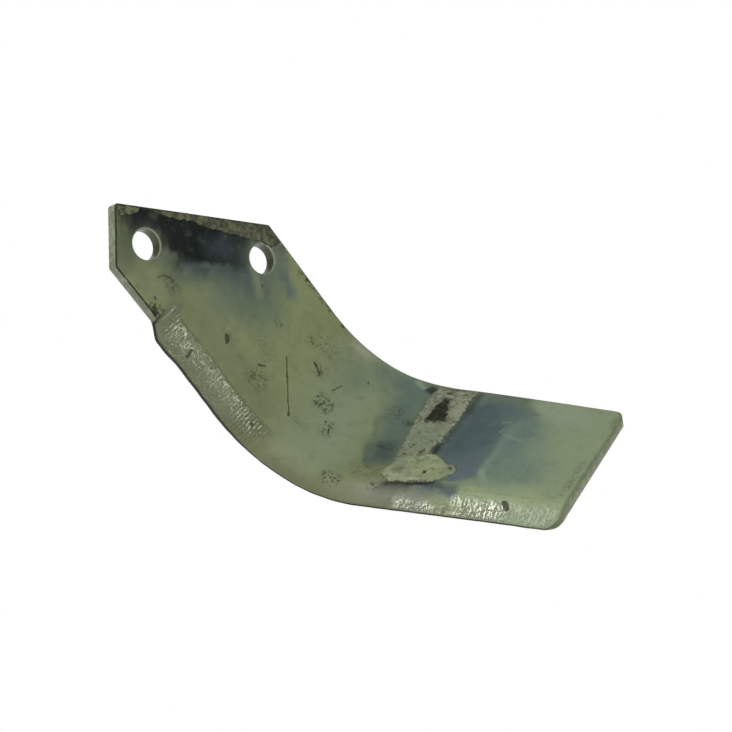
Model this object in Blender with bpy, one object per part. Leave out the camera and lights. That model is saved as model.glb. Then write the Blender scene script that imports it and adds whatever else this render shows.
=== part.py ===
# Rotary tiller blade: one flat bar with two bolt holes at its slanted end, one long
# edge forged thin for cutting, and the bar bent round into an L.
# Frame: X runs along the line of the two holes, Y is the normal of the face that lies
# on the rotor's flange, Z is up. The origin is midway between the holes on that face.

import math

import bmesh
import bpy
from mathutils import Vector

mm = 0.001

plateThickness = 6.0 * mm
stripWidth = 72.4 * mm
stripAngle = math.radians(46.1)
wingReach = 194.6 * mm

holeSpacing = 57.0 * mm
holeDiameter = 12.5 * mm
holeSegments = 48
topMargin = 15.4 * mm
endMargin = 14.2 * mm
upperShare = 0.441

endCornerRadius = 1.7 * mm
shankCornerRadius = 1.2 * mm
wingCornerRadius = 3.4 * mm
tipRadius = 7.0 * mm
rimRadius = 0.8 * mm

bendAngle = math.radians(69.7)
bendRadius = 55.5 * mm
bendOffset = 55.0 * mm
bendTurn = math.radians(55.3)
bendSteps = 26

upsetStart = 86.0 * mm
upsetLength = 28.0 * mm
upsetHeight = 1.6 * mm
wingDrop = 2.6 * mm

edgeStart = -7.0 * mm
edgeShoulder = 8.0 * mm
edgeSpread = 3.2 * mm
edgeBow = 2.6 * mm
edgeTaper = 0.8 * mm
edgeLump = 0.8 * mm
edgeLumpLength = 22.0 * mm
edgeLand = 1.1 * mm
forgeWidth = 14.0 * mm
forgeWidthAtTip = 12.0 * mm
forgeRamp = 1.8 * mm
forgeShoulder = 0.75
forgeRows = 8
forgePitch = 6.5 * mm

# The bar's own directions: down its length, and square to it towards the upper edge.
lengthwise = Vector((math.cos(stripAngle), -math.sin(stripAngle)))
crosswise = Vector((math.sin(stripAngle), math.cos(stripAngle)))

# The holes share out the bar's width: the upper edge passes one, the lower edge the other.
upperMargin = upperShare * (stripWidth - holeSpacing * crosswise.x)
cornerRun = (upperMargin - topMargin * crosswise.y) / crosswise.x
upperCorner = Vector((holeSpacing / 2 + cornerRun, topMargin))
endCorner = Vector((-holeSpacing / 2 - endMargin, topMargin))
endLength = (stripWidth - (upperCorner - endCorner).dot(crosswise)) / crosswise.y
lowerCorner = endCorner - Vector((0, endLength))


def clearScene():
    for obj in list(bpy.data.objects):
        bpy.data.objects.remove(obj, do_unlink=True)


def newCollection(name):
    collection = bpy.data.collections.new(name)
    bpy.context.scene.collection.children.link(collection)
    return collection


def lacqueredSteel():
    material = bpy.data.materials.new("lacquered_steel")
    material.use_nodes = True
    shader = material.node_tree.nodes["Principled BSDF"]
    shader.inputs["Base Color"].default_value = (0.13, 0.15, 0.085, 1)
    shader.inputs["Metallic"].default_value = 0.3
    shader.inputs["Roughness"].default_value = 0.35
    return material


def smoothStep(value):
    value = min(max(value, 0), 1)
    return value * value * (3 - 2 * value)


def onPlate(along, across):
    # A place on the flat bar, from the corner where its upper edge meets its top.
    return upperCorner + lengthwise * along + crosswise * across


def cuttingEdge(along):
    # Forging drives the edge out past the bar's side, most at its start and mid length.
    share = (along - edgeStart) / (wingReach - edgeStart)
    spread = edgeSpread - edgeTaper * share
    spread += edgeBow * math.sin(math.pi * share) ** 2
    lump = min((along - edgeStart) / edgeLumpLength, 1)
    spread += edgeLump * math.sin(math.pi * lump) ** 2
    return -stripWidth - spread * smoothStep((along - edgeStart) / edgeShoulder)


def upperEdge(along):
    # Bending upsets the edge on the inside of the bend, and the wing narrows from there.
    rise = upsetHeight * smoothStep((along - upsetStart) / upsetLength)
    narrowing = (along - upsetStart - upsetLength) / (wingReach - upsetStart - upsetLength)
    return rise - (upsetHeight + wingDrop) * max(narrowing, 0) ** 1.3


def roundedCorner(before, corner, after, radius, steps=6):
    # Points of the arc that meets both sides of a corner.
    first = (before - corner).normalized()
    second = (after - corner).normalized()
    half = first.angle(second) / 2
    centre = corner + (first + second).normalized() * radius / math.sin(half)
    start = corner + first * radius / math.tan(half) - centre
    end = corner + second * radius / math.tan(half) - centre
    sweep = math.pi - 2 * half
    turn = math.copysign(sweep / steps, start.x * end.y - start.y * end.x)
    points = []
    for step in range(steps + 1):
        cosine = math.cos(turn * step)
        sine = math.sin(turn * step)
        points.append(centre + Vector((start.x * cosine - start.y * sine,
                                       start.x * sine + start.y * cosine)))
    return points


def barOutline():
    wingUpper = onPlate(wingReach, upperEdge(wingReach))
    tip = onPlate(wingReach, cuttingEdge(wingReach))
    nearTip = wingReach - 3 * tipRadius
    beforeTip = onPlate(nearTip, cuttingEdge(nearTip))
    edgeBegins = onPlate(edgeStart, -stripWidth)
    outline = []
    outline += roundedCorner(lowerCorner, endCorner, upperCorner, endCornerRadius)
    outline += roundedCorner(endCorner, upperCorner, onPlate(upsetStart, 0),
                             shankCornerRadius)
    for step in range(13):
        along = upsetStart + (wingReach - 3 * wingCornerRadius - upsetStart) * step / 12
        outline.append(onPlate(along, upperEdge(along)))
    outline += roundedCorner(outline[-1], wingUpper, tip, wingCornerRadius)
    outline += roundedCorner(wingUpper, tip, beforeTip, tipRadius, 10)
    along = nearTip
    while along > edgeStart + edgeShoulder:
        outline.append(onPlate(along, cuttingEdge(along)))
        along -= edgeShoulder / 2
    for step in range(8, -1, -1):
        along = edgeStart + edgeShoulder * step / 8
        outline.append(onPlate(along, cuttingEdge(along)))
    outline += roundedCorner(edgeBegins, lowerCorner, endCorner, shankCornerRadius)
    return outline


def holeOutline(centre):
    points = []
    for step in range(holeSegments):
        angle = 2 * math.pi * step / holeSegments
        offset = Vector((math.cos(angle), math.sin(angle)))
        points.append(Vector((centre, 0)) + offset * holeDiameter / 2)
    return points


def addSpline(curve, points):
    spline = curve.splines.new("POLY")
    spline.points.add(len(points) - 1)
    for target, point in zip(spline.points, points):
        target.co = (point.x, point.y, 0, 1)
    spline.use_cyclic_u = True


def cutBlank(collection):
    # The blank lies in XY, with its front face up and half its thickness each side.
    curve = bpy.data.curves.new("blank", "CURVE")
    curve.dimensions = "2D"
    curve.fill_mode = "BOTH"
    curve.extrude = plateThickness / 2
    addSpline(curve, barOutline())
    addSpline(curve, holeOutline(-holeSpacing / 2))
    addSpline(curve, holeOutline(holeSpacing / 2))
    blank = bpy.data.objects.new("blank", curve)
    collection.objects.link(blank)
    bpy.context.view_layer.update()
    graph = bpy.context.evaluated_depsgraph_get()
    mesh = bpy.data.meshes.new_from_object(blank.evaluated_get(graph))
    bpy.data.objects.remove(blank, do_unlink=True)
    return mesh


def roundRims(form):
    # The sheared edges and the mouths of the holes are rolled over a little.
    bmesh.ops.remove_doubles(form, verts=form.verts, dist=1e-6)
    bmesh.ops.dissolve_limit(form, angle_limit=0.001, verts=form.verts, edges=form.edges)
    rims = [edge for edge in form.edges if edge.calc_face_angle(0) > math.radians(80)]
    bmesh.ops.bevel(form, geom=rims, offset=rimRadius, offset_type="OFFSET", segments=3,
                    profile=0.5, affect="EDGES", clamp_overlap=False)


def slice(form, point, normal):
    geometry = form.verts[:] + form.edges[:] + form.faces[:]
    bmesh.ops.bisect_plane(form, geom=geometry, dist=1e-7, plane_co=(*point, 0),
                           plane_no=(*normal, 0))


def addForgeLines(form):
    widest = stripWidth + edgeSpread + edgeBow
    for row in range(forgeRows + 1):
        across = -widest + (forgeWidth + edgeBow) * row / forgeRows
        slice(form, onPlate(0, across), crosswise)
    for step in range(5):
        slice(form, onPlate(edgeStart + forgeRamp * step / 4, 0), lengthwise)
    along = edgeStart + forgeRamp + forgePitch
    while along < wingReach - tipRadius:
        slice(form, onPlate(along, 0), lengthwise)
        along += forgePitch


def forgedDepth(along, across):
    # How far the hammered front lies below the bar's own face at this place.
    share = min(max((along - edgeStart) / (wingReach - edgeStart), 0), 1)
    width = forgeWidth + (forgeWidthAtTip - forgeWidth) * share
    inward = (across - cuttingEdge(along)) / width
    if inward >= 1 or along < edgeStart:
        return 0
    pressed = 1 - max(inward, 0)
    if pressed < forgeShoulder:
        slope = pressed * pressed / (2 * forgeShoulder)
    else:
        slope = pressed - forgeShoulder / 2
    slope /= 1 - forgeShoulder / 2
    ramp = smoothStep((along - edgeStart) / forgeRamp)
    return (plateThickness - edgeLand) * slope * ramp


def forgeEdge(form):
    # The press moves the front most and leaves the flange face where it is.
    for vertex in form.verts:
        place = Vector(vertex.co.xy) - upperCorner
        depth = forgedDepth(place.dot(lengthwise), place.dot(crosswise))
        frontShare = 0.5 + vertex.co.z / plateThickness
        vertex.co.z -= depth * frontShare


def bendBar(form):
    # Sections run square to the bend; beyond it the wing leaves straight.
    outward = Vector((math.cos(bendTurn), -math.sin(bendTurn)))
    arc = bendRadius * bendAngle
    for step in range(bendSteps + 1):
        slice(form, outward * (bendOffset + arc * step / bendSteps), outward)
    for vertex in form.verts:
        flat = Vector(vertex.co.xy)
        depth = plateThickness / 2 - vertex.co.z
        travel = flat.dot(outward) - bendOffset
        angle = min(max(travel, 0), arc) / bendRadius
        beyond = max(travel - arc, 0)
        run = min(travel, 0) + bendRadius * math.sin(angle) + beyond * math.cos(bendAngle)
        lift = bendRadius * (1 - math.cos(angle)) + beyond * math.sin(bendAngle)
        flat += outward * (run + depth * math.sin(angle) - travel)
        vertex.co = (flat.x, depth * math.cos(angle) - lift - plateThickness, flat.y)


def buildBlade():
    collection = newCollection("Rotary tiller blade")
    mesh = cutBlank(collection)
    form = bmesh.new()
    form.from_mesh(mesh)
    roundRims(form)
    addForgeLines(form)
    forgeEdge(form)
    bendBar(form)
    bmesh.ops.recalc_face_normals(form, faces=form.faces)
    form.to_mesh(mesh)
    form.free()
    mesh.name = "tiller_blade"
    mesh.materials.clear()
    mesh.materials.append(lacqueredSteel())
    mesh.shade_smooth()
    mesh.set_sharp_from_angle(angle=math.radians(35))
    blade = bpy.data.objects.new("tiller_blade", mesh)
    collection.objects.link(blade)
    return blade


clearScene()
buildBlade()
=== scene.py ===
import math

import bpy
from mathutils import Matrix, Vector, noise


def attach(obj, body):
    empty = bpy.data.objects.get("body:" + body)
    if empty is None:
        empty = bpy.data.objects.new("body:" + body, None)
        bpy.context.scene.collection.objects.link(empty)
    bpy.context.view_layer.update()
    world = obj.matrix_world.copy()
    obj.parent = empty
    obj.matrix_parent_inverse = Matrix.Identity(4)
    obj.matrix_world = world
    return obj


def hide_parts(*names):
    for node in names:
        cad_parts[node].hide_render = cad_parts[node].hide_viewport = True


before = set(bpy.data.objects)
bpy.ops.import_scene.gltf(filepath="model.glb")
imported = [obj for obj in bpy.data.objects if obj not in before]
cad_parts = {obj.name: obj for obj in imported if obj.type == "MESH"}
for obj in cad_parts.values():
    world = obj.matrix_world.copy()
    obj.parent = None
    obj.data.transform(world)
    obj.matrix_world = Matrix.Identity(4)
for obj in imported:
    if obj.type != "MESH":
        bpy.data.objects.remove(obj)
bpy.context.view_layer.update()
mm = 0.001

# The camera stands at the photograph's viewing angle.
cameraValues = {
    "place": (-0.34235, -0.50935, -0.13331),
    "look": (0.64, 0.7562, 0.1361),
    "up": (-0.0566, -0.1303, 0.9899),
    "lens": 73.77,
    "sensor": 36,
}


def addCamera(values):
    cameraData = bpy.data.cameras.new("camera")
    cameraData.lens = values["lens"]
    cameraData.sensor_width = values["sensor"]
    camera = bpy.data.objects.new("camera", cameraData)
    bpy.context.scene.collection.objects.link(camera)
    look = Vector(values["look"]).normalized()
    right = look.cross(Vector(values["up"])).normalized()
    up = right.cross(look)
    turned = Matrix((right, up, -look)).transposed().to_4x4()
    camera.matrix_world = Matrix.Translation(values["place"]) @ turned
    bpy.context.scene.camera = camera


addCamera(cameraValues)
print("camera is set")

# The bar's own measures, the same as in the part.
bar = {
    "thickness": 6 * mm,
    "width": 72.4 * mm,
    "turn": math.radians(46.1),  # slope of the bar against the line of the holes
    "reach": 194.6 * mm,
    "corner": (32.8545 * mm, 15.4 * mm),
    "bendAngle": math.radians(69.7),
    "bendRadius": 55.5 * mm,
    "bendOffset": 55 * mm,
    "bendTurn": math.radians(55.3),
    "edgeStart": -7 * mm,
    "edgeShoulder": 8 * mm,
    "edgeSpread": 3.2 * mm,
    "edgeBow": 2.6 * mm,
    "edgeTaper": 0.8 * mm,
    "edgeLump": 0.8 * mm,
    "edgeLumpLength": 22 * mm,
    "edgeLand": 1.1 * mm,
    "forgeWidth": 14 * mm,
    "forgeWidthAtTip": 12 * mm,
    "forgeRamp": 1.8 * mm,
    "forgeShoulder": 0.75,
    "rimRadius": 0.8 * mm,
}

thickness = bar["thickness"]
lengthwise = Vector((math.cos(bar["turn"]), -math.sin(bar["turn"])))
crosswise = Vector((math.sin(bar["turn"]), math.cos(bar["turn"])))
outward = Vector((math.cos(bar["bendTurn"]), -math.sin(bar["bendTurn"])))


def smoothStep(value):
    value = min(max(value, 0), 1)
    return value * value * (3 - 2 * value)


def cuttingEdge(along):
    start = bar["edgeStart"]
    share = (along - start) / (bar["reach"] - start)
    spread = bar["edgeSpread"] - bar["edgeTaper"] * share
    spread += bar["edgeBow"] * math.sin(math.pi * share) ** 2
    lump = min((along - start) / bar["edgeLumpLength"], 1)
    spread += bar["edgeLump"] * math.sin(math.pi * lump) ** 2
    return -bar["width"] - spread * smoothStep((along - start) / bar["edgeShoulder"])


def pressedShare(along, across):
    # 0 where the forged band begins, 1 at the cutting edge.
    share = (along - bar["edgeStart"]) / (bar["reach"] - bar["edgeStart"])
    share = min(max(share, 0), 1)
    width = bar["forgeWidth"]
    width += (bar["forgeWidthAtTip"] - width) * share
    inward = (across - cuttingEdge(along)) / width
    if inward >= 1 or along < bar["edgeStart"]:
        return 0
    return 1 - max(inward, 0)


def forgedDepth(along, across):
    pressed = pressedShare(along, across)
    shoulder = bar["forgeShoulder"]
    if pressed < shoulder:
        slope = pressed * pressed / (2 * shoulder)
    else:
        slope = pressed - shoulder / 2
    slope /= 1 - shoulder / 2
    ramp = smoothStep((along - bar["edgeStart"]) / bar["forgeRamp"])
    return (thickness - bar["edgeLand"]) * slope * ramp


def unfold(point):
    # Where a point of the bent bar lay on the flat one: along, across, depth under the front.
    radius = bar["bendRadius"]
    bend = bar["bendAngle"]
    side = point.x * outward.x + point.z * outward.y - bar["bendOffset"]
    lift = point.y + thickness
    angle = math.atan2(side, lift + radius)
    if side <= 0:
        travel = side
        depth = lift
    elif angle <= bend:
        travel = radius * angle
        depth = math.hypot(side, lift + radius) - radius
    else:
        travel = radius * bend + side * math.cos(bend) - (lift + radius) * math.sin(bend)
        depth = side * math.sin(bend) + (lift + radius) * math.cos(bend) - radius
    flat = Vector((point.x, point.z)) + outward * (travel - side) - Vector(bar["corner"])
    return flat.dot(lengthwise), flat.dot(crosswise), depth


def fold(along, across, depth):
    # The same the other way, as the press bent it.
    radius = bar["bendRadius"]
    bend = bar["bendAngle"]
    flat = Vector(bar["corner"]) + lengthwise * along + crosswise * across
    travel = flat.dot(outward) - bar["bendOffset"]
    angle = min(max(travel, 0), radius * bend) / radius
    beyond = max(travel - radius * bend, 0)
    run = min(travel, 0) + radius * math.sin(angle) + beyond * math.cos(bend)
    lift = radius * (1 - math.cos(angle)) + beyond * math.sin(bend)
    flat += outward * (run + depth * math.sin(angle) - travel)
    return Vector((flat.x, depth * math.cos(angle) - lift - thickness, flat.y))


def selectOnly(piece):
    bpy.ops.object.select_all(action="DESELECT")
    piece.select_set(True)
    bpy.context.view_layer.objects.active = piece


def inEditMode(piece):
    selectOnly(piece)
    bpy.ops.object.mode_set(mode="EDIT")
    bpy.ops.mesh.select_all(action="SELECT")


def storePlaces(piece, places, masks):
    # For the materials: the place on the flat bar in mm, and how far up a wall or down the
    # forged band a point is.
    placeLayer = piece.data.attributes.new("flatPlace", "FLOAT_VECTOR", "POINT")
    maskLayer = piece.data.attributes.new("barMasks", "FLOAT_VECTOR", "POINT")
    for index, (place, mask) in enumerate(zip(places, masks)):
        placeLayer.data[index].vector = place
        maskLayer.data[index].vector = mask


# Blade body: the CAD bar with its hammered, uneven surface.
bodyValues = {
    "gridAlong": 1.6 * mm,
    "gridAcross": 1.8 * mm,
    "gridForged": 0.8 * mm,
    "gridStart": -52 * mm,
    "gridTop": -1.5 * mm,
    "gridBottom": -82 * mm,
    "weldWithin": 0.01 * mm,
    "cutWithin": 0.001 * mm,
    "flatWithin": math.radians(0.2),
    "smoothWithin": math.radians(38),
    "bandReach": 18 * mm,  # from the cutting edge to past the forged band
    "bandSlack": mm,
    "rimSlack": 0.03 * mm,
    "lumpSize": 4.2 * mm,  # hammer marks on the forged band
    "lumpHeight": 0.16 * mm,
    "lumpStretch": (1.25, 0.7),
    "shankLumps": 0.65,  # their strength on the shank, and what the wing adds
    "wingLumps": 0.6,
    "wingFrom": 110 * mm,
    "wingRun": 20 * mm,
    "rippleSize": 1.7 * mm,
    "rippleHeight": 0.05 * mm,
    "rippleStretch": (1.6, 0.5),
    "waveSize": 26 * mm,  # slow waves of the rolled bar, front and back
    "waveHeight": 0.1 * mm,
    "backWaveSize": 30 * mm,
    "backWaveHeight": 0.05 * mm,
    "backWaveLayer": 9,
    "edgeWander": 0.22 * mm,
    "edgeWanderSize": 5 * mm,
    "edgeWanderFrom": 0.8,
    "holeCentres": ((-31.44, -54.89), (8.08, -13.81)),  # these three in mm on the flat bar
    "holeRim": 7.2,
    "holeRimFade": 0.8,
}


def flattenedCopy(node, name, values):
    # Laid flat, and with its forged band as thick as the rest, the front is one plane to cut.
    piece = bpy.data.objects.new(name, node.data.copy())
    bpy.context.scene.collection.objects.link(piece)
    inEditMode(piece)
    bpy.ops.mesh.remove_doubles(threshold=values["weldWithin"])
    bpy.ops.object.mode_set(mode="OBJECT")
    rim = bar["rimRadius"] + values["rimSlack"]
    for vertex in piece.data.vertices:
        along, across, depth = unfold(vertex.co)
        share = (thickness - depth) / (thickness - forgedDepth(along, across))
        fromEdge = across - cuttingEdge(along)
        fromEnd = bar["reach"] - along
        onBand = along > bar["edgeStart"] - values["bandSlack"]
        if onBand and fromEdge < values["bandReach"] and min(fromEdge, fromEnd) > rim:
            share = round(share)
        vertex.co = (along, across, thickness * share)
    return piece


def cutLine(place, normal, within):
    bpy.ops.mesh.select_all(action="SELECT")
    bpy.ops.mesh.bisect(plane_co=place, plane_no=normal, threshold=within)


def cutGrid(piece, values):
    inEditMode(piece)
    bpy.ops.mesh.dissolve_limited(angle_limit=values["flatWithin"])
    along = values["gridStart"]
    while along < bar["reach"]:
        cutLine((along, 0, 0), (1, 0, 0), values["cutWithin"])
        along += values["gridAlong"]
    across = values["gridTop"]
    while across > values["gridBottom"]:
        cutLine((0, across, 0), (0, 1, 0), values["cutWithin"])
        forged = across < -bar["width"] + bar["forgeWidth"]
        across -= values["gridForged"] if forged else values["gridAcross"]
    bpy.ops.object.mode_set(mode="OBJECT")


def surfaceLift(along, across, values):
    # How far the front stands above its true form here, in metres.
    place = Vector((along, across, 0))
    lift = noise.noise(place / values["waveSize"]) * values["waveHeight"]
    pressed = smoothStep(pressedShare(along, across) * 3)
    if pressed > 0:
        longer, wider = values["lumpStretch"]
        lump = noise.noise(Vector((along * longer, across * wider, 3 * mm)) / values["lumpSize"])
        longer, wider = values["rippleStretch"]
        ripple = noise.noise(Vector((along * longer, across * wider, 0)) / values["rippleSize"])
        wing = smoothStep((along - values["wingFrom"]) / values["wingRun"])
        strength = values["shankLumps"] + values["wingLumps"] * wing
        lift += lump * values["lumpHeight"] * pressed * strength
        lift += ripple * values["rippleHeight"] * pressed
    return lift


def hammerAndFold(piece, values):
    places = []
    masks = []
    wanderFrom = values["edgeWanderFrom"]
    for vertex in piece.data.vertices:
        along, across, height = vertex.co
        forged = forgedDepth(along, across)
        frontShare = height / thickness
        height = frontShare * (thickness - forged)
        pressed = pressedShare(along, across)
        places.append((along / mm, across / mm, height / mm))
        masks.append((frontShare, pressed, forged / thickness))
        lift = surfaceLift(along, across, values) * frontShare ** 4
        backPlace = Vector((along, across, values["backWaveLayer"]))
        backWave = noise.noise(backPlace / values["backWaveSize"])
        lift -= backWave * values["backWaveHeight"] * (1 - frontShare) ** 4
        wander = noise.noise(Vector((along / values["edgeWanderSize"], 3.7, 0)))
        wander *= smoothStep((pressed - wanderFrom) / (1 - wanderFrom))
        across += wander * values["edgeWander"]
        vertex.co = fold(along, across, thickness - height - lift)
    storePlaces(piece, places, masks)
    holeLayer = piece.data.attributes.new("nearHole", "FLOAT", "POINT")
    for index, place in enumerate(places):
        gap = min(math.dist(place[:2], centre) for centre in values["holeCentres"])
        beyond = (gap - values["holeRim"]) / values["holeRimFade"]
        holeLayer.data[index].value = 1 - smoothStep(beyond)


def buildBody(values):
    node = bpy.data.objects["tiller_blade"]
    piece = flattenedCopy(node, "blade_body", values)
    cutGrid(piece, values)
    hammerAndFold(piece, values)
    selectOnly(piece)
    bpy.ops.object.shade_smooth_by_angle(angle=values["smoothWithin"])
    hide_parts("tiller_blade")
    return piece


bladeBody = buildBody(bodyValues)
print("blade body has", len(bladeBody.data.polygons), "faces")

# Crusts: dried residue left on the bar as thin ragged solids, in mm on the flat bar.
crustValues = {
    "topWedge": {
        "outline": ((0.3, -0.3), (9, -0.4), (9.6, -2.4), (8, -6.2), (3, -8.8), (-6.4, -16.5),
                    (-12.6, -22), (-19.4, -27.4), (-26.4, -32), (-29.4, -35.6), (-34.4, -39.8),
                    (-40.4, -44.2), (-43.4, -45.6), (-20.4, -21.6)),
        "height": 0.28, "ragged": 0.75, "grain": 0.2, "slope": 0.7,
    },
    "endPatch": {
        "outline": ((-43.6, -46), (-43, -48.6), (-44.6, -52.4), (-47.6, -56.6), (-50.6, -55.6),
                    (-51.8, -54.4)),
        "height": 0.25, "ragged": 0.7, "grain": 0.14, "slope": 0.6,
    },
    "strip": {
        "outline": ((108.2, -0.1), (107.8, -4.2), (107.6, -13.2), (108.2, -23.8), (109.1, -28.2),
                    (111, -38.8), (112, -46), (113.2, -53.5), (125.6, -51.5), (126.6, -40.2),
                    (128, -32.8), (128.2, -20), (127.1, -6.8), (127.6, -0.1)),
        "height": 0.55, "ragged": 0.95, "grain": 0.26, "slope": 0.9,
    },
    "blob": {
        "outline": ((112.2, -63.6), (112.4, -60.8), (113.2, -57.5), (113.8, -54), (114.8, -51.2),
                    (117, -49.2), (120, -48.5), (123.2, -48), (125.8, -46.2), (128.2, -45.8),
                    (131.2, -46.5), (134.2, -48.2), (136.5, -50.2), (138, -51.2), (139.2, -50.5),
                    (141.2, -51.2), (142.9, -53.5), (143, -55.5), (142, -57.5), (140.8, -58.8),
                    (140.2, -60.8), (138.6, -62.2), (134.5, -63.6), (128.5, -65), (122, -66.1),
                    (117.8, -66.6), (114.6, -65.4)),
        "height": 0.95, "ragged": 0.4, "grain": 0.25, "slope": 1.3,
    },
}

# What all the crusts share, also in mm.
crustShape = {
    "cell": 0.45,
    "margin": 2,
    "wanderSize": 2.6,
    "fineWanderSize": 0.9,
    "fineWander": 0.5,
    "grainSize": 1.5,
    "fineGrainSize": 0.6,
    "fineGrain": 0.6,
    "lumpSize": 7,
    "lumps": 0.5,
    "thinnest": 0.06,
    "sunk": 0.12,
}


def insideDistance(point, outline):
    # Distance to the outline, above 0 inside it.
    inside = False
    nearest = 1e9
    for index, start in enumerate(outline):
        end = outline[index - 1]
        side = end - start
        share = min(max((point - start).dot(side) / side.length_squared, 0), 1)
        nearest = min(nearest, (point - start - side * share).length)
        if (start.y > point.y) != (end.y > point.y):
            crossing = start.x + (point.y - start.y) * side.x / side.y
            inside ^= point.x < crossing
    return nearest if inside else -nearest


def crustNoise(point, size, layer):
    return noise.noise(Vector((point.x, point.y, layer)) / size)


def raggedDistance(point, values, outline):
    wander = crustNoise(point, crustShape["wanderSize"], 2)
    wander += crustShape["fineWander"] * crustNoise(point, crustShape["fineWanderSize"], 7)
    return insideDistance(point, outline) + wander * values["ragged"]


def crustSheet(name, values, outline):
    # A fine grid, cut to the ragged outline, with the steps of the grid smoothed.
    cell = crustShape["cell"]
    margin = crustShape["margin"]
    low = Vector((min(p.x for p in outline) - margin, min(p.y for p in outline) - margin))
    high = Vector((max(p.x for p in outline) + margin, max(p.y for p in outline) + margin))
    size = high - low
    bpy.ops.object.select_all(action="DESELECT")
    bpy.ops.mesh.primitive_grid_add(size=1, x_subdivisions=round(size.x / cell),
                                    y_subdivisions=round(size.y / cell))
    piece = bpy.context.object
    piece.name = name
    for vertex in piece.data.vertices:
        vertex.co.x = low.x + (vertex.co.x + 0.5) * size.x
        vertex.co.y = low.y + (vertex.co.y + 0.5) * size.y
    bpy.ops.object.mode_set(mode="EDIT")
    bpy.ops.mesh.select_mode(type="FACE")
    bpy.ops.mesh.select_all(action="DESELECT")
    bpy.ops.object.mode_set(mode="OBJECT")
    for polygon in piece.data.polygons:
        polygon.select = raggedDistance(polygon.center.xy, values, outline) < 0
    bpy.ops.object.mode_set(mode="EDIT")
    bpy.ops.mesh.delete(type="FACE")
    bpy.ops.mesh.select_mode(type="VERT")
    bpy.ops.mesh.select_all(action="DESELECT")
    bpy.ops.mesh.select_non_manifold()
    bpy.ops.mesh.vertices_smooth(factor=0.5, repeat=3)
    return piece


def closeSheet():
    # Thickness, closed all round.
    bpy.ops.mesh.select_all(action="SELECT")
    bpy.ops.mesh.extrude_region_move(TRANSFORM_OT_translate={"value": (0, 0, 1)})
    bpy.ops.mesh.select_all(action="SELECT")
    bpy.ops.mesh.normals_make_consistent(inside=False)
    bpy.ops.object.mode_set(mode="OBJECT")


def crustHeight(point, values, body):
    grain = crustNoise(point, crustShape["grainSize"], 4)
    grain += crustShape["fineGrain"] * crustNoise(point, crustShape["fineGrainSize"], 6)
    lump = crustNoise(point, crustShape["lumpSize"], 11)
    height = values["height"] * (1 + crustShape["lumps"] * lump) + values["grain"] * grain
    return crustShape["thinnest"] + height * body


def buildCrust(name, values):
    outline = [Vector(corner) for corner in values["outline"]]
    piece = crustSheet(name, values, outline)
    closeSheet()
    places = []
    masks = []
    for vertex in piece.data.vertices:
        point = vertex.co.xy
        edge = max(raggedDistance(point, values, outline), 0)
        body = smoothStep(edge / values["slope"])
        onTop = vertex.co.z > 0.5
        height = crustHeight(point, values, body) if onTop else -crustShape["sunk"]
        places.append((point.x, point.y, height))
        masks.append((body, 0, 0))
        along = point.x * mm
        across = point.y * mm
        depth = forgedDepth(along, across) - surfaceLift(along, across, bodyValues) - height * mm
        vertex.co = fold(along, across, depth)
    storePlaces(piece, places, masks)
    selectOnly(piece)
    bpy.ops.object.shade_smooth()
    return piece


crusts = {name: buildCrust("crust_" + name, values) for name, values in crustValues.items()}
print("crusts have", sum(len(crust.data.polygons) for crust in crusts.values()), "faces")


def linear(red, green, blue):
    # Colours are written as they look on a screen, from 0 to 255.
    shares = [channel / 255 for channel in (red, green, blue)]
    return (*[s / 12.92 if s < 0.04045 else ((s + 0.055) / 1.055) ** 2.4 for s in shares], 1)


def isSocket(value):
    return isinstance(value, bpy.types.NodeSocket)


def feed(node, inputs):
    for key, value in inputs.items():
        if isSocket(value):
            node.id_data.links.new(value, node.inputs[key])
        else:
            node.inputs[key].default_value = value


def addNode(tree, kind, inputs=None, **settings):
    node = tree.nodes.new("ShaderNode" + kind)
    for name, value in settings.items():
        setattr(node, name, value)
    feed(node, inputs or {})
    return node


# A socket knows its tree, so the helpers below add their node where the socket is.
def vectorStep(operation, first, second=None):
    inputs = {0: first} if second is None else {0: first, 1: second}
    return addNode(first.id_data, "VectorMath", inputs, operation=operation).outputs[0]


def vectorLength(vector):
    length = addNode(vector.id_data, "VectorMath", {0: vector}, operation="LENGTH")
    return length.outputs["Value"]


def mathStep(operation, first, second, clamp=False):
    tree = (first if isSocket(first) else second).id_data
    inputs = {0: first, 1: second}
    return addNode(tree, "Math", inputs, operation=operation, use_clamp=clamp).outputs[0]


def times(first, second):
    return mathStep("MULTIPLY", first, second)


def plus(first, second):
    return mathStep("ADD", first, second)


def minus(first, second):
    return mathStep("SUBTRACT", first, second)


def higher(first, second):
    return mathStep("MAXIMUM", first, second)


def highest(masks):
    result = masks[0]
    for mask in masks[1:]:
        result = higher(result, mask)
    return result


def spread(value, low, high, atLow=0, atHigh=1):
    inputs = {"Value": value, "From Min": low, "From Max": high, "To Min": atLow, "To Max": atHigh}
    step = addNode(value.id_data, "MapRange", inputs, interpolation_type="SMOOTHSTEP")
    return step.outputs["Result"]


def noisePattern(place, scale, detail, roughness=0.5):
    inputs = {"Vector": place, "Scale": scale, "Detail": detail, "Roughness": roughness}
    return addNode(place.id_data, "TexNoise", inputs).outputs[0]


def mixColour(mask, under, over):
    # Either colour is a socket or three numbers.
    under, over = [linear(*c) if isinstance(c, tuple) else c for c in (under, over)]
    inputs = {0: mask, 6: under, 7: over}
    return addNode(mask.id_data, "Mix", inputs, data_type="RGBA").outputs[2]


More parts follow.
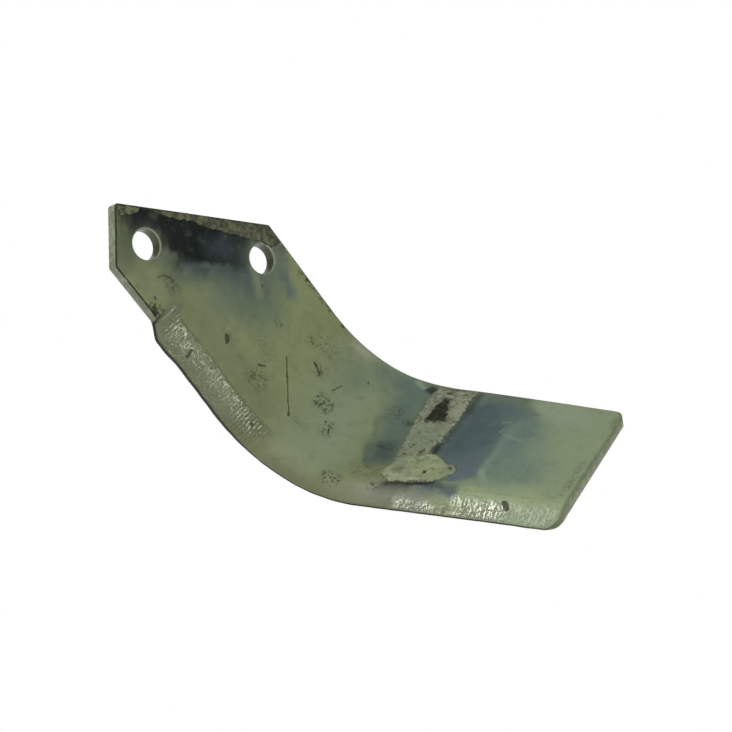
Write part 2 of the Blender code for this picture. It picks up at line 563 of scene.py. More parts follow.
def newGroup(name, inputs, outputs):
    group = bpy.data.node_groups.new(name, "ShaderNodeTree")
    for side, sockets in (("INPUT", inputs), ("OUTPUT", outputs)):
        for label, kind in sockets.items():
            group.interface.new_socket(label, in_out=side, socket_type="NodeSocket" + kind)
    start = group.nodes.new("NodeGroupInput")
    end = group.nodes.new("NodeGroupOutput")
    return group, start.outputs, end


def softPatchGroup():
    # 1 inside a turned box with round corners, fading to 0 over its soft rim.
    group, start, end = newGroup(
        "soft patch", {"Place": "Vector", "Centre": "Vector", "Half Size": "Vector",
                       "Turn": "Float", "Softness": "Float"}, {"Mask": "Float"})
    shifted = vectorStep("SUBTRACT", start["Place"], start["Centre"])
    level = vectorStep("MULTIPLY", shifted, (1, 1, 0))
    back = times(start["Turn"], -1)
    turned = addNode(group, "VectorRotate", {"Vector": level, "Angle": back},
                     rotation_type="Z_AXIS").outputs[0]
    folded = vectorStep("ABSOLUTE", turned)
    over = vectorStep("SUBTRACT", folded, start["Half Size"])
    softened = addNode(group, "CombineXYZ", {0: start["Softness"], 1: start["Softness"]})
    over = vectorStep("ADD", over, softened.outputs[0])
    distance = vectorLength(vectorStep("MAXIMUM", over, (0, 0, 0)))
    rim = times(start["Softness"], 2)
    feed(end, {"Mask": spread(distance, 0, rim, 1, 0)})
    return group


def strokeGroup():
    # 1 on a line between two places: a scratch, or a spot where they are close together.
    group, start, end = newGroup(
        "stroke", {"Place": "Vector", "Start": "Vector", "End": "Vector", "Width": "Float"},
        {"Mask": "Float"})
    level = vectorStep("MULTIPLY", start["Place"], (1, 1, 0))
    away = vectorStep("SUBTRACT", level, start["Start"])
    side = vectorStep("SUBTRACT", start["End"], start["Start"])
    reach = addNode(group, "VectorMath", {0: away, 1: side}, operation="DOT_PRODUCT")
    whole = addNode(group, "VectorMath", {0: side, 1: side}, operation="DOT_PRODUCT")
    share = mathStep("DIVIDE", reach.outputs["Value"], whole.outputs["Value"], True)
    foot = addNode(group, "VectorMath", {0: side, "Scale": share}, operation="SCALE")
    distance = vectorLength(vectorStep("SUBTRACT", away, foot.outputs[0]))
    inner = times(start["Width"], 0.35)
    feed(end, {"Mask": spread(distance, inner, start["Width"], 1, 0)})
    return group


def wobbleGroup():
    # Pushes a place about, so that what is drawn at it gets an uneven rim.
    group, start, end = newGroup(
        "wobble", {"Place": "Vector", "Turn": "Float", "Stretch": "Vector", "Size": "Float",
                   "Amount": "Float"}, {"Place": "Vector"})
    turned = addNode(group, "VectorRotate",
                     {"Vector": start["Place"], "Angle": start["Turn"]}, rotation_type="Z_AXIS")
    stretched = vectorStep("MULTIPLY", turned.outputs[0], start["Stretch"])
    scale = mathStep("DIVIDE", 1, start["Size"])
    pattern = addNode(group, "TexNoise", {"Vector": stretched, "Scale": scale, "Detail": 2.5})
    centred = vectorStep("SUBTRACT", pattern.outputs["Color"], (0.5, 0.5, 0.5))
    pushed = addNode(group, "VectorMath", {0: centred, "Scale": start["Amount"]},
                     operation="SCALE")
    feed(end, {"Place": vectorStep("ADD", start["Place"], pushed.outputs[0])})
    return group


def specksGroup():
    # Scattered flecks: Cover says how much of the surface they take.
    group, start, end = newGroup(
        "specks", {"Place": "Vector", "Size": "Float", "Cover": "Float"}, {"Mask": "Float"})
    scale = mathStep("DIVIDE", 1, start["Size"])
    pattern = noisePattern(start["Place"], scale, 4, 0.65)
    high = minus(0.75, times(start["Cover"], 0.5))
    feed(end, {"Mask": spread(pattern, minus(high, 0.05), high)})
    return group


def forgeMarksGroup():
    # Height of the fine marks on the forged band, in mm: ridges across it, and scales.
    group, start, end = newGroup(
        "forge marks", {"Place": "Vector", "Ridges": "Float", "Scales": "Float"},
        {"Height": "Float"})
    ridges = addNode(group, "TexWave", {
        "Vector": start["Place"], "Scale": 0.2, "Distortion": 2.6, "Detail": 1.5,
        "Detail Scale": 1, "Detail Roughness": 0.5}, wave_type="BANDS", bands_direction="X")
    broken = noisePattern(start["Place"], 0.8, 2)
    ridgeHeight = times(ridges.outputs["Fac"], spread(broken, 0.35, 0.6, 0.2, 1))
    ridgeHeight = times(ridgeHeight, start["Ridges"])
    cells = addNode(group, "TexVoronoi", {"Vector": start["Place"], "Scale": 0.55},
                    feature="SMOOTH_F1")
    scaly = plus(cells.outputs["Distance"], noisePattern(start["Place"], 0.7, 2))
    scaleHeight = times(scaly, start["Scales"])
    feed(end, {"Height": plus(ridgeHeight, scaleHeight)})
    return group


softPatch = softPatchGroup()
stroke = strokeGroup()
wobble = wobbleGroup()
specks = specksGroup()
forgeMarks = forgeMarksGroup()


def groupOutput(group, inputs):
    return addNode(inputs["Place"].id_data, "Group", inputs, node_tree=group).outputs[0]


def patchMask(place, centre, half, turn, softness):
    return groupOutput(softPatch, {
        "Place": place, "Centre": (*centre, 0), "Half Size": (*half, 0),
        "Turn": math.radians(turn), "Softness": softness})


def wobbled(place, size, amount, turn=0, stretch=(1, 1, 1)):
    return groupOutput(wobble, {
        "Place": place, "Turn": math.radians(turn), "Stretch": stretch, "Size": size,
        "Amount": amount})


def specksMask(place, size, cover):
    return groupOutput(specks, {"Place": place, "Size": size, "Cover": cover})


def newMaterial(name):
    material = bpy.data.materials.new(name)
    material.use_nodes = True
    tree = material.node_tree
    return material, tree, tree.nodes["Principled BSDF"]


def barPlace(tree):
    place = addNode(tree, "Attribute", attribute_name="flatPlace").outputs["Vector"]
    masks = addNode(tree, "Attribute", attribute_name="barMasks").outputs["Vector"]
    return place, addNode(tree, "SeparateXYZ", {0: masks}).outputs


def bump(height, distance, strength):
    inputs = {"Height": height, "Distance": distance, "Strength": strength}
    return addNode(height.id_data, "Bump", inputs).outputs[0]


# Zones of the front, in the order they lie on each other: centre and half size in mm on the
# flat bar, turn in degrees, softness in mm, colour and strength.
lacquerZones = {
    "oliveLower": ((22, -60), (36, 9), 0, 8, (100, 108, 78), 0.7),
    "brownLowBend": ((92, -74), (34, 6), 0, 7, (115, 118, 88), 0.8),
    "greenBend": ((80, -36), (13, 34), 0, 14, (123, 135, 109), 0.9),
    "bendUpper": ((74, -16), (8, 8), 0, 8, (102, 114, 92), 0.7),
    "wingEnd": ((184, -38), (24, 50), 0, 10, (128, 141, 111), 1),
    "tealGreen": ((160, -37), (12, 24), 14, 14, (104, 124, 110), 1),
    "tealLow": ((163, -50), (12, 8), 0, 7, (104, 123, 106), 0.8),
    "khakiUpper": ((168, -7), (15, 5), -22, 7, (132, 146, 122), 1),
    "lowerBand": ((168, -65), (28, 4.5), 0, 5, (139, 152, 116), 1),
    "brownCorner": ((193.6, -9), (0.8, 6), 0, 1.2, (102, 102, 76), 0.6),
    "greyLowWing": ((126, -73), (12, 5), 8, 6, (106, 111, 98), 0.8),
    "blueWing": ((139.5, -34), (12.5, 28), 4, 7, (76, 94, 92), 1),
    "blueWingUpper": ((143, -12), (14, 5), -6, 5, (80, 98, 95), 0.8),
    "blueWingTop": ((139, -2), (12, 4), -4, 4, (88, 103, 92), 0.8),
    "tealRight": ((158, -30), (5.5, 15), 0, 6, (92, 111, 101), 0.75),
    "blueWingDeep": ((135, -26), (7.5, 19), 4, 7, (66, 82, 84), 0.9),
    "violetWing": ((146, -50), (4, 9), 0, 5, (85, 96, 102), 0.7),
    "shadowByStrip": ((128.6, -8), (2, 8), 0, 2, (54, 65, 56), 0.9),
    "shadowMiddle": ((128.9, -26), (1, 14), 0, 1.6, (54, 64, 66), 0.85),
    "shadowFoot": ((128, -42.5), (1.6, 4.4), 5, 1.8, (26, 30, 22), 0.95),
    "blueUnderBlob": ((140, -65.8), (12, 2.6), 5, 3, (69, 82, 85), 0.95),
    "tealLine": ((151, -61.4), (11, 0.8), 6, 1.1, (112, 132, 116), 0.85),
    "tealLineEnd": ((164, -61.4), (6, 0.6), -10, 1.2, (130, 147, 120), 0.5),
    "streakLow": ((153.4, -45), (1.5, 9), 0, 1.6, (106, 127, 113), 0.9),
    "streakFoot": ((155, -55.5), (1.1, 4.5), 24, 1.2, (122, 143, 124), 0.95),
    "streakHigh": ((153.8, -26), (1.5, 10), -5, 1.8, (104, 125, 114), 0.8),
    "wisp": ((156.5, -28.6), (6, 0.5), -17, 0.8, (118, 137, 122), 0.8),
    "wispUpper": ((149, -18.6), (1.8, 0.5), 14, 0.7, (118, 136, 126), 0.7),
    "wispTurn": ((149.4, -24.4), (0.5, 1.8), -25, 0.7, (118, 136, 126), 0.7),
    "tealTop": ((88, -7), (9, 3.5), -8, 4, (90, 104, 92), 0.8),
    "tealStrip": ((102.5, -22), (9, 23), 16, 7, (85, 102, 91), 0.95),
    "tealStripLow": ((107.5, -45), (7.5, 14), 18, 6, (84, 98, 86), 0.95),
    "tealStripDark": ((106.5, -50), (5, 9), 16, 4, (61, 77, 70), 0.9),
    "tealEdge": ((98.5, -44), (1.2, 16), 18, 1.8, (84, 97, 80), 0.6),
    "paleTealTop": ((100, -2.8), (3.4, 1.3), -25, 1.4, (118, 134, 117), 0.85),
    # painted shadow by the notch at the upper edge
    "notchTopShadow": ((106.2, -3.6), (2.4, 2.6), -30, 1.3, (40, 50, 47), 0.95),
    "smudgeByStrip": ((107.5, -28.4), (1.6, 1.2), 0, 1.2, (50, 60, 44), 0.8),
    "violetLow": ((147, -55.4), (5, 4), 0, 1.4, (88, 100, 106), 0.8),
    # these two: painted shadow under the blob's overhanging foot
    "shadowUnderBlob": ((121.5, -68), (7, 1.8), 8, 2.6, (52, 55, 43), 0.95),
    "blobShadowLine": ((127, -66), (10.5, 0.9), 11, 0.9, (30, 34, 28), 0.95),
    # painted highlight near the upper edge of the bend
    "bendTopHighlight": ((69.5, -3), (5, 2.2), 0, 3, (146, 148, 130), 0.75),
    "tealShank": ((14, -31), (20, 12), 40, 10, (85, 98, 83), 0.85),
    "slateShank": ((-2, -32), (26, 8), 44, 7, (64, 75, 72), 0.95),
    "streakUpper": ((22, -10.6), (12, 2.6), -13, 3.2, (80, 94, 89), 0.9),
    "navyShank": ((-20.2, -33), (36, 12.5), 46, 5, (13, 22, 20), 1),
    "navyUpper": ((-3, -20), (9, 6), 46, 5, (42, 52, 50), 0.8),
    "violetShank": ((-10, -27), (7, 4), 46, 4, (50, 56, 62), 0.7),
    "navyTop": ((8, -5), (6, 2), 40, 2.5, (60, 70, 64), 0.85),
    "brushShank": ((-8, -39.5), (11, 0.7), 50, 1.8, (78, 90, 86), 0.55),
    "greyRightHole": ((-14, -58), (6, 2), -14, 3, (84, 92, 78), 0.6),
    "khakiUnderHole": ((-26, -66), (9, 3), 0, 4, (100, 108, 84), 0.7),
    "lowCorner": ((-39, -66), (9, 6), 0, 5, (80, 89, 70), 0.8),
    # painted shade on the steep ramp where the forged band starts
    "rampStartShade": ((-5, -66.5), (2.2, 6.5), 0, 2, (86, 92, 68), 0.85),
    "lowEdge": ((60, -77), (70, 4.5), 0, 5, (92, 97, 70), 0.75),
    "haloEndSide": ((-23.6, -52.4), (2.6, 4.4), 10, 2.4, (100, 108, 90), 0.8),
    "haloEnd": ((-31, -54), (6.4, 6.4), 0, 6.4, (84, 91, 78), 0.8),
    "haloWingSide": ((15.5, -13.6), (4.2, 5.4), 0, 3.2, (92, 103, 86), 0.85),
    "haloWing": ((8.6, -13.2), (7.2, 7.2), 0, 7.2, (98, 106, 88), 0.9),
    "paleUnderHole": ((13, -22.8), (7.5, 2), -28, 2.2, (108, 118, 92), 0.85),
}

# Scratches, nicks and spots: both ends in mm, and the width.
lacquerScratches = {
    "longUpper": ((45.8, -34.4), (51.5, -41), 0.55),
    "longLower": ((51.3, -40.2), (62.1, -53.8), 0.4),
    "longFoot": ((61.4, -53), (62.3, -54.4), 0.85),
    "shortUpper": ((56.9, -25.6), (58.6, -26.2), 0.7),
    "shortUpperEnd": ((59.2, -26.6), (62, -28.4), 0.8),
    "steep": ((70.2, -30.4), (72.4, -25), 0.45),
    "shortLow": ((38.4, -48), (40.9, -45.9), 0.6),
    "flat": ((102, -45.9), (106, -46.3), 0.55),
    "flatEnd": ((107, -46.6), (109, -46.8), 0.6),
    "blobMark": ((19.4, -51.4), (21, -52.6), 1.5),
    "blobMarkLow": ((20.8, -53.2), (21.4, -53.6), 1),
    "nick": ((12.9, -68.6), (13.6, -71.2), 0.9),
    "nickNearBend": ((52.4, -69.2), (53.6, -69.4), 0.7),
    "pit": ((170.3, -68.2), (172.2, -70.4), 1.6),
    "speck": ((16.1, -22.2), (16.4, -22.4), 0.6),
    "rimSpot": ((-11, -70.4), (-9.2, -71.4), 1.7),
    "rimSpotLeft": ((-14, -67.2), (-13.6, -67.4), 0.6),
    "upperSpeck": ((80.5, -15.2), (81.1, -15.9), 0.6),
    "upperRim": ((55.4, -1.5), (56.6, -1.5), 0.8),
    "fleckA": ((67, -37.2), (67.4, -37.2), 0.7),
    "fleckB": ((79.4, -48.4), (80.2, -50.2), 0.7),
    "fleckC": ((76.4, -45.4), (76.8, -46.2), 0.6),
    "smearHook": ((-18.6, -60.6), (-17.6, -57.4), 0.35),
    "smearTop": ((-17.4, -57.2), (-13, -55.4), 0.4),
    "notchRim": ((-6.4, -70.4), (-5.4, -72.6), 1),
}

# Clusters of faint dark flecks.
lacquerFlecks = {
    "upperShank": ((56, -15), (7, 4), 4, 0.45),
    "upperLeft": ((50, -19), (3, 1.5), 2, 0.8),
    "midShank": ((60, -27), (4, 3), 2.5, 0.6),
    "besideStreak": ((33, -27), (2, 2), 2, 0.6),
    "middle": ((35, -40), (7, 4), 4, 0.3),
    "lowMiddle": ((42, -53), (5, 4), 3, 0.6),
    "bend": ((71, -38.5), (4.5, 3.5), 2, 0.8),
    "bendLow": ((79, -48.5), (2.5, 4), 2, 0.65),
    "bendLower": ((68.5, -54), (4, 1.2), 2, 0.5),
    "edge": ((112.5, -70), (3, 1.6), 1.5, 1),
    "edgeLeft": ((93, -70.5), (5, 2.5), 2.5, 0.8),
    "topRim": ((36, -1.4), (12, 1), 1.2, 0.9),
    "rimLeft": ((-10, -70), (4, 2.5), 2, 0.9),
    "wingEnd": ((191.3, -50), (1.3, 11), 1.5, 0.4),
    "underStrip": ((99, -24), (4, 4), 3, 0.5),
    "byStrip": ((107, -28), (3, 2), 2, 0.8),
    "lowTeal": ((105, -62), (8, 4), 4, 0.35),
    "smear": ((-12, -57.5), (4, 2.5), 2, 0.6),
    "blobSide": ((22, -51), (3, 3), 2, 0.4),
}

# Where the forged band shines: centre and half size, turn, softness and strength.
bareZones = {
    "shank": ((28.5, -67.5), (33.5, 4.6), 0, 1.8, 1),
    "shankStart": ((1, -71), (6, 5), 0, 2.5, 0.45),
    "shankScales": ((17, -74), (24, 5), 0, 3, 0.95),
    "wingEdge": ((140, -77.5), (17, 4.2), -2, 2.2, 0.9),
    "wingLumps": ((162, -72.8), (11, 4.6), 4, 2.2, 1),
    "wingUpper": ((152, -70.5), (4.5, 2.4), 20, 1.5, 0.9),
    "tip": ((183, -72.5), (10, 5), 0, 2.5, 0.5),
}

lacquerValues = {
    "olive": (111, 120, 85),
    "oliveLight": (117, 126, 90),
    # lighter on the left wall, as it faces the light: painted light
    "leftWallLit": (140, 148, 121),
    "endWall": (112, 120, 88),
    # darker on the thin wall at the cutting edge: painted shade
    "thinEdgeShade": (34, 37, 27),
    # darker inside the holes: painted shade
    "holeWallShade": (72, 77, 56),
    # the dark line along the rounded rims, painted shade; also the streaks on the walls
    "rim": (34, 37, 27),
    "back": (108, 115, 86),
    "backDark": (66, 77, 70),
    "dirt": (36, 38, 26),
    "pale": (140, 148, 122),
    "band": (80, 87, 60),
    "bareTint": (136, 138, 126),
    # pale rims of the holes: painted highlight
    "holeRim": (126, 134, 114),
    "bare": 0.17,  # metal showing through on the hammered band
    "scratchWidth": 1.1,  # times the widths above
    "specular": 0.25,
}

# Where along the bar something comes or goes, in mm.
alongRanges = {
    "walls": (-30, 60),
    "shankBandStart": (-6, 1),
    "shankBandEnd": (55, 68),
    "wingBandStart": (112, 124),
    "bareTurn": (60, 100),
    "reliefTurn": (60, 110),
    "edgeLine": (40, 80),
    "edgeLineEnd": (180, 188),
    "wingRim": (96, 104),
    "rimEnd": (186, 193),
}


def alongStep(along, name, atStart=0, atEnd=1):
    return spread(along, *alongRanges[name], atStart, atEnd)


def zoneColour(place, colour):
    # Two pushes make the zones' rims run in slanting strokes, as the dip coat flowed.
    wide = wobbled(place, size=6, amount=7, turn=58, stretch=(0.25, 1, 1))
    wide = wobbled(wide, size=20, amount=14)
    narrow = wobbled(place, size=7, amount=3.5)
    for centre, half, turn, softness, shade, strength in lacquerZones.values():
        pushed = wide if min(half) > 2.5 else narrow
        mask = patchMask(pushed, centre, half, turn, softness)
        colour = mixColour(times(mask, strength), colour, shade)
    return colour


def bareMask(place, band):
    # Where the hammered band is rubbed bare.
    uneven = wobbled(place, size=4, amount=5)
    bare = highest([
        times(patchMask(uneven, centre, half, turn, softness), strength)
        for centre, half, turn, softness, strength in bareZones.values()])
    patchy = noisePattern(place, scale=0.16, detail=3)
    return times(times(bare, spread(patchy, 0.35, 0.6, 0.7, 1)), band)


def fleckMask(place, ragged):
    clusters = highest([
        times(patchMask(place, centre, half, 0, softness), strength)
        for centre, half, softness, strength in lacquerFlecks.values()])
    smears = specksMask(ragged, size=1.25, cover=0.42)
    stray = specksMask(ragged, size=1.1, cover=0.08)
    return higher(times(smears, clusters), times(stray, 0.4))


def scratchMask(place, ragged, widen):
    # Noise taken off the strokes leaves them broken, as scratches are.
    marks = highest([
        groupOutput(stroke, {
            "Place": ragged, "Start": (*start, 0), "End": (*stop, 0), "Width": width * widen})
        for start, stop, width in lacquerScratches.values()])
    worn = noisePattern(place, scale=0.9, detail=3)
    return spread(minus(marks, worn), 0, 0.25)


def mottledColour(place, front, colour, values):
    # Slightly darker and paler by turns, less so on the back.
    blotches = noisePattern(place, scale=0.22, detail=6, roughness=0.62)
    pale = times(spread(blotches, 0.52, 0.75, 0, 0.14), spread(front, 0, 1, 0.4, 1))
    colour = mixColour(pale, colour, values["pale"])
    return mixColour(spread(blotches, 0.48, 0.25, 0, 0.22), colour, values["dirt"])


def wallColour(place, along, frontShare, pressed, nearHole, colour, values):
    # painted light on the left wall, painted shade on the thin edge and in the holes
    paint = mixColour(alongStep(along, "walls"), values["leftWallLit"], values["endWall"])
    streaks = specksMask(place, size=3.5, cover=0.5)
    paint = mixColour(times(streaks, 0.35), paint, values["rim"])
    thin = times(spread(pressed, 0.5, 0.9), alongStep(along, "edgeLineEnd", 1, 0.2))
    paint = mixColour(thin, paint, values["thinEdgeShade"])
    paint = mixColour(nearHole, paint, values["holeWallShade"])
    # at the cutting edge it reaches higher on the shank and lower on the wing
    atEdge = alongStep(along, "edgeLine", 0.95, 0.76)
    wallTop = spread(pressed, 0.88, 0.98, 0.86, atEdge)
    wall = times(spread(frontShare, 0.02, 0.14),
                 spread(frontShare, wallTop, plus(wallTop, 0.11), 1, 0))
    return mixColour(wall, colour, paint)


def rimMasks(along, across, frontShare, pressed):
    # The rim just below the front, and the whole dark line with the fainter rim at the back:
    # painted shade where the rounded edges turn from the light.
    top = alongStep(along, "wingRim", 0.99, 0.998)
    high = times(spread(frontShare, 0.86, 0.94), spread(frontShare, top, 0.9999, 1, 0))
    high = times(high, spread(pressed, 0.8, 0.95, 1, 0))
    low = spread(frontShare, 0.02, 0.12, 1, 0)
    line = times(higher(high, times(low, 0.4)), alongStep(along, "rimEnd", 0.95, 0.35))
    return high, times(line, spread(across, -45, -15, 1, 0.55))


def lacquerMaterial(values):
    material, tree, shader = newMaterial("lacquered_steel_worn")
    place, masks = barPlace(tree)
    flat = addNode(tree, "SeparateXYZ", {0: place}).outputs
    along, across = flat[0], flat[1]
    frontShare, pressed, forged = masks[0], masks[1], masks[2]
    nearHole = addNode(tree, "Attribute", attribute_name="nearHole").outputs["Fac"]
    front = spread(frontShare, 0.55, 0.97)
    band = times(spread(forged, 0, 0.025), front)
    onShank = times(band, alongStep(along, "shankBandEnd", 1, 0))
    onShank = times(onShank, alongStep(along, "shankBandStart"))
    bare = bareMask(place, band)
    ragged = wobbled(place, size=1.4, amount=1.3)

    # front
    broad = noisePattern(place, scale=0.045, detail=5)
    colour = mixColour(spread(broad, 0.35, 0.65), values["olive"], values["oliveLight"])
    colour = mixColour(times(onShank, 0.85), colour, values["band"])
    colour = zoneColour(place, colour)
    tint = times(bare, alongStep(along, "bareTurn", 0.15, 0.5))
    colour = mixColour(tint, colour, values["bareTint"])

    # back, with slow dark clouds only
    clouds = noisePattern(place, scale=0.03, detail=4)
    back = mixColour(spread(clouds, 0.45, 0.75), values["back"], values["backDark"])
    colour = mixColour(front, back, colour)
    colour = mottledColour(place, front, colour, values)

    # walls, with painted light on the left wall and painted shade on the thin edge and in the
    # holes, and the dark line along their rims, painted shade
    colour = wallColour(place, along, frontShare, pressed, nearHole, colour, values)
    rimHigh, rimLine = rimMasks(along, across, frontShare, pressed)
    # the dark rim line is painted shade, made uneven by noise
    rimShadeNoise = specksMask(place, size=6, cover=0.62)
    paintedRimShade = times(rimLine, spread(rimShadeNoise, 0, 1, 0.6, 1))
    colour = mixColour(paintedRimShade, colour, values["rim"])
    # painted highlight on the hole rims
    holeRimHighlight = times(times(rimHigh, nearHole), 0.85)
    colour = mixColour(holeRimHighlight, colour, values["holeRim"])

    # flecks and scratches
    flecks = times(fleckMask(place, ragged), front)
    colour = mixColour(flecks, colour, values["dirt"])
    marks = times(scratchMask(place, ragged, values["scratchWidth"]), front)
    colour = mixColour(times(marks, 0.85), colour, values["dirt"])

    # gloss: hammer marks shine where they are rubbed bare
    rough = spread(noisePattern(place, scale=0.09, detail=5), 0.3, 0.7, 0.24, 0.34)
    rough = plus(rough, times(band, 0.16))
    rough = minus(rough, times(bare, 0.33))
    rough = plus(rough, times(rimLine, 0.4))
    rough = plus(rough, times(marks, 0.3))

    # relief in mm, without the scratches: with them Cycles runs out of room for this material
    relief = groupOutput(forgeMarks, {
        "Place": place, "Ridges": alongStep(along, "reliefTurn", 0.13, 0.03),
        "Scales": alongStep(along, "reliefTurn", 0.2, 0.18)})
    hammered = higher(times(band, alongStep(along, "wingBandStart")), onShank)
    peel = times(noisePattern(place, scale=0.8, detail=3), 0.025)
    relief = plus(times(relief, hammered), peel)
    feed(shader, {
        "Base Color": colour, "Roughness": rough, "Metallic": times(bare, values["bare"]),
        "Specular IOR Level": values["specular"], "Normal": bump(relief, mm, 1)})
    return material


# Dried residue: colours, and how much of it the specks cover.
residueValues = {
    "topWedge": {"light": (96, 99, 75), "dark": (58, 60, 43), "specks": (36, 38, 27),
                 "cover": 0.42},
    "endPatch": {"light": (104, 109, 82), "dark": (58, 62, 44), "specks": (38, 39, 28),
                 "cover": 0.42},
    "strip": {"light": (132, 136, 114), "dark": (103, 109, 88), "specks": (44, 47, 32),
              "cover": 0.3},
    "blob": {"light": (138, 147, 114), "dark": (113, 124, 95), "specks": (66, 69, 46),
             "cover": 0.2},
}

# Patches on it: centre and half size in mm, turn, softness, colour and strength.
residuePatches = {
    "strip": {
        "roughDark": ((116.4, -13), (2.2, 5), 4, 0.9, (25, 28, 12), 1),
        "roughDarkMiddle": ((116.8, -17), (3.4, 4.2), 0, 0.9, (25, 28, 12), 1),
        "roughDarkLow": ((117.6, -21), (4.1, 3.6), 0, 0.9, (23, 26, 10), 1),
        "darkFoot": ((122.6, -23.4), (3, 0.6), 6, 0.7, (46, 50, 33), 0.9),
        "darkSpot": ((115.2, -4.2), (1.2, 1.1), 0, 0.6, (48, 52, 36), 0.9),
        "darkTop": ((117, -0.6), (4.5, 0.7), 0, 0.7, (56, 60, 44), 0.8),
        "lowSpot": ((122.4, -45.6), (1, 1.5), -30, 0.6, (26, 28, 18), 1),
        "paleRight": ((124.6, -14), (2.4, 9), 4, 1.5, (138, 143, 120), 0.7),
        "greenLow": ((119, -36), (7, 10), 8, 3, (118, 129, 107), 0.75),
    },
    "blob": {
        "yellowBlob": ((130, -56), (5, 4), 0, 2.5, (137, 146, 108), 0.8),
        "greenLeft": ((117, -54), (3.5, 4), 0, 2, (116, 128, 102), 0.7),
        "brownSmear": ((119, -60), (2.9, 1.5), 0, 1.4, (98, 102, 78), 0.9),
        "greyKnob": ((140.8, -54.6), (2.6, 3), 0, 1, (122, 127, 106), 0.9),
        "blobSpot": ((131.2, -58.8), (1.1, 0.9), 10, 0.5, (32, 34, 20), 1),
        "blobSpotUpper": ((133, -56.5), (0.8, 0.6), 0, 0.5, (70, 74, 50), 0.8),
        "knobSpot": ((140.5, -54.8), (1, 0.9), 0, 0.6, (66, 58, 40), 0.9),
        # painted highlight along the blob's lower rim
        "blobFootHighlight": ((122, -63.6), (9, 0.9), 0, 0.8, (146, 152, 126), 0.7),
        "seam": ((124, -53), (0.5, 5.5), 24, 0.8, (104, 116, 88), 0.6),
        "seamLeft": ((120, -50.5), (3.6, 0.5), 18, 0.7, (100, 110, 84), 0.6),
    },
}


def residueMaterial(name, values):
    material, tree, shader = newMaterial("residue_" + name)
    place, masks = barPlace(tree)
    ragged = wobbled(wobbled(place, size=5, amount=4), size=1.2, amount=2.8)
    broad = noisePattern(place, scale=0.4, detail=6)
    colour = mixColour(spread(broad, 0.35, 0.65), values["dark"], values["light"])
    crumb = noisePattern(place, scale=1.3, detail=3)
    patches = residuePatches.get(name, {})
    for centre, half, turn, softness, shade, strength in patches.values():
        mask = patchMask(ragged, centre, half, turn, softness)
        mask = times(mask, spread(crumb, 0.3, 0.45, 0.55, 1))
        colour = mixColour(times(mask, strength), colour, shade)
    flecks = specksMask(ragged, size=1.5, cover=values["cover"])
    gather = noisePattern(place, scale=0.15, detail=2)
    flecks = times(flecks, spread(gather, 0.35, 0.6, 0.15, 0.85))
    colour = mixColour(flecks, colour, values["specks"])
    crumbs = times(spread(masks[0], 0.1, 0.95, 1, 0), specksMask(place, size=1.3, cover=0.52))
    colour = mixColour(times(crumbs, 0.9), colour, values["specks"])
    grain = noisePattern(place, scale=2.4, detail=5)
    feed(shader, {
        "Base Color": colour, "Roughness": spread(broad, 0.3, 0.7, 0.55, 0.8),
        "Specular IOR Level": 0.3, "Normal": bump(grain, 0.25 * mm, 0.8)})
    return material


def setMaterial(piece, material):
    piece.data.materials.clear()
    piece.data.materials.append(material)


setMaterial(bladeBody, lacquerMaterial(lacquerValues))
for crustName, crust in crusts.items():
    setMaterial(crust, residueMaterial(crustName, residueValues[crustName]))
for piece in [bladeBody, *crusts.values()]:
    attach(piece, "root")
print("materials are set")

# Floor, backdrop and world, in metres.
stageValues = {
    "floorHeight": -0.75,
    "floorSize": 60,
    "wallDistance": 5,
    "wallWidth": 9,
    "wallHeight": 6,
    "whiteFrom": 0.9,  # metres from the middle where the floor turns plain white
    "whiteTo": 1.3,
    "paint": 0.8,
    "paintRoughness": 0.9,
    "nearShine": 0.55,  # of full white, close to the blade, so that its shadow shows
    "world": 0.22,
    "worldGlossy": 0.15,
}

lampValues = {
    "front": {"towards": (0.19, -0.96, -0.2), "long": (-0.45, 0.05, -0.5), "distance": 1.2,
              "size": (0.2, 0.66), "power": 5.6},
    "overWing": {"towards": (-0.66, 0.18, 0.72), "long": (-0.6, -0.1, -0.45), "distance": 1.2,
                 "size": (0.2, 0.7), "power": 7},
    "lowBand": {"towards": (-0.03, -0.9, -0.43), "long": (0.45, 0.2, -0.5), "distance": 1.2,
                "size": (0.1, 0.34), "power": 0.9},
    "leftFill": {"towards": (-0.8, -0.6, -0.05), "long": (0, 0, 1), "distance": 1.4,
                 "size": (0.9, 0.9), "power": 9, "glint": False},
    "topFill": {"towards": (-0.3, -0.6, 0.75), "long": (0, 1, 0), "distance": 1.6,
                "size": (1.1, 1.1), "power": 3, "glint": False},
    "backFill": {"towards": (0.55, 0.78, -0.28), "long": (0, 0, 1), "distance": 1.2,
                 "size": (0.6, 0.6), "power": 8.5, "glint": False},
}
bladeMiddle = Vector((0.03, -0.05, -0.04))  # what the lamps face


def whiteMaterial(name, values, keepsShadow):
    material, tree, shader = newMaterial(name)
    paint = values["paint"]
    feed(shader, {"Base Color": (paint, paint, paint, 1), "Specular IOR Level": 0,
                  "Roughness": values["paintRoughness"]})
    shine = addNode(tree, "Emission", {"Strength": 1})
    rays = addNode(tree, "LightPath").outputs
    seen = higher(rays["Is Camera Ray"], rays["Is Glossy Ray"])
    seen = higher(seen, rays["Is Transmission Ray"])
    if keepsShadow:
        place = addNode(tree, "TexCoord").outputs["Object"]
        whiter = spread(vectorLength(place), values["whiteFrom"], values["whiteTo"],
                        values["nearShine"], 1)
        seen = times(seen, whiter)
    inputs = {0: seen, 1: shader.outputs[0], 2: shine.outputs[0]}
    mixed = addNode(tree, "MixShader", inputs)
    feed(tree.nodes["Material Output"], {"Surface": mixed.outputs[0]})
    return material


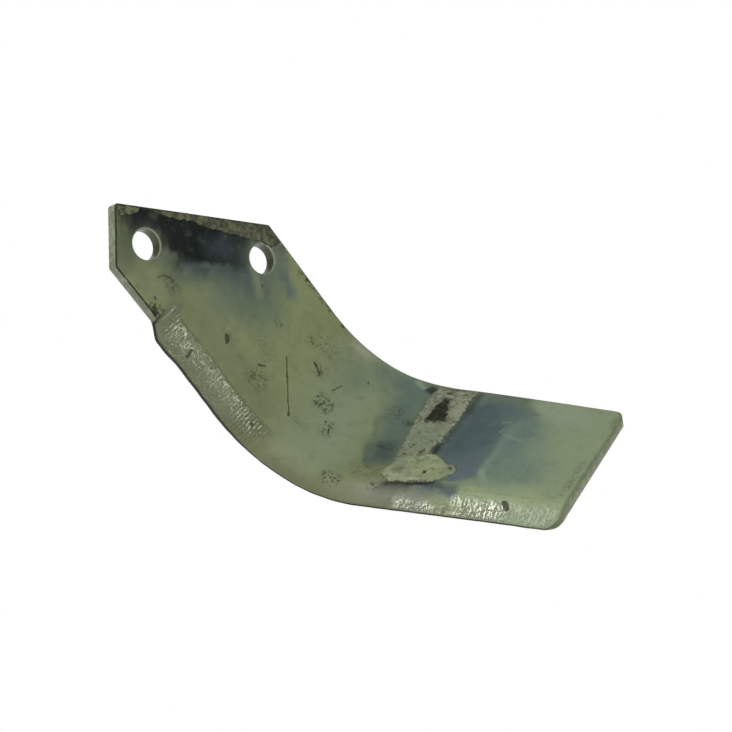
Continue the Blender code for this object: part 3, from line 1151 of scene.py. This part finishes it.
def addPlane(name, size, material):
    bpy.ops.object.select_all(action="DESELECT")
    bpy.ops.mesh.primitive_plane_add(size=size)
    plane = bpy.context.object
    plane.name = name
    setMaterial(plane, material)
    return plane


def addFloor(values):
    floor = addPlane("floor", values["floorSize"], whiteMaterial("floor", values, True))
    for vertex in floor.data.vertices:
        vertex.co.z = values["floorHeight"]


def addBackdrop(values):
    look = Vector((*cameraValues["look"][:2], 0)).normalized()
    side = Vector((look.y, -look.x, 0))
    wall = addPlane("backdrop", 2, whiteMaterial("backdrop", values, False))
    for vertex in wall.data.vertices:
        across = vertex.co.x * values["wallWidth"] / 2
        height = values["floorHeight"] + (vertex.co.y + 1) * values["wallHeight"] / 2
        vertex.co = look * values["wallDistance"] + side * across + Vector((0, 0, height))


def addLamp(name, values):
    lampData = bpy.data.lights.new(name, "AREA")
    lampData.shape = "RECTANGLE"
    lampData.size, lampData.size_y = values["size"]
    lampData.energy = values["power"]
    lamp = bpy.data.objects.new(name, lampData)
    bpy.context.scene.collection.objects.link(lamp)
    towards = Vector(values["towards"]).normalized()
    side = Vector(values["long"]).cross(towards).normalized()
    turned = Matrix((side, towards.cross(side), towards)).transposed().to_4x4()
    lamp.matrix_world = Matrix.Translation(bladeMiddle + towards * values["distance"]) @ turned
    lamp.visible_camera = False
    lamp.visible_glossy = values.get("glint", True)


def setWorld(values):
    world = bpy.data.worlds.new("studio")
    world.use_nodes = True
    tree = world.node_tree
    rays = addNode(tree, "LightPath").outputs
    seen = higher(rays["Is Camera Ray"], rays["Is Transmission Ray"])
    seen = higher(seen, times(rays["Is Glossy Ray"], values["worldGlossy"]))
    feed(tree.nodes["Background"], {
        "Color": (1, 1, 1, 1), "Strength": spread(seen, 0, 1, values["world"], 1)})
    bpy.context.scene.world = world
    bpy.context.scene.view_settings.view_transform = "Standard"


addFloor(stageValues)
addBackdrop(stageValues)
for lampName, lampSettings in lampValues.items():
    addLamp(lampName, lampSettings)
setWorld(stageValues)
print("stage and lamps are set")
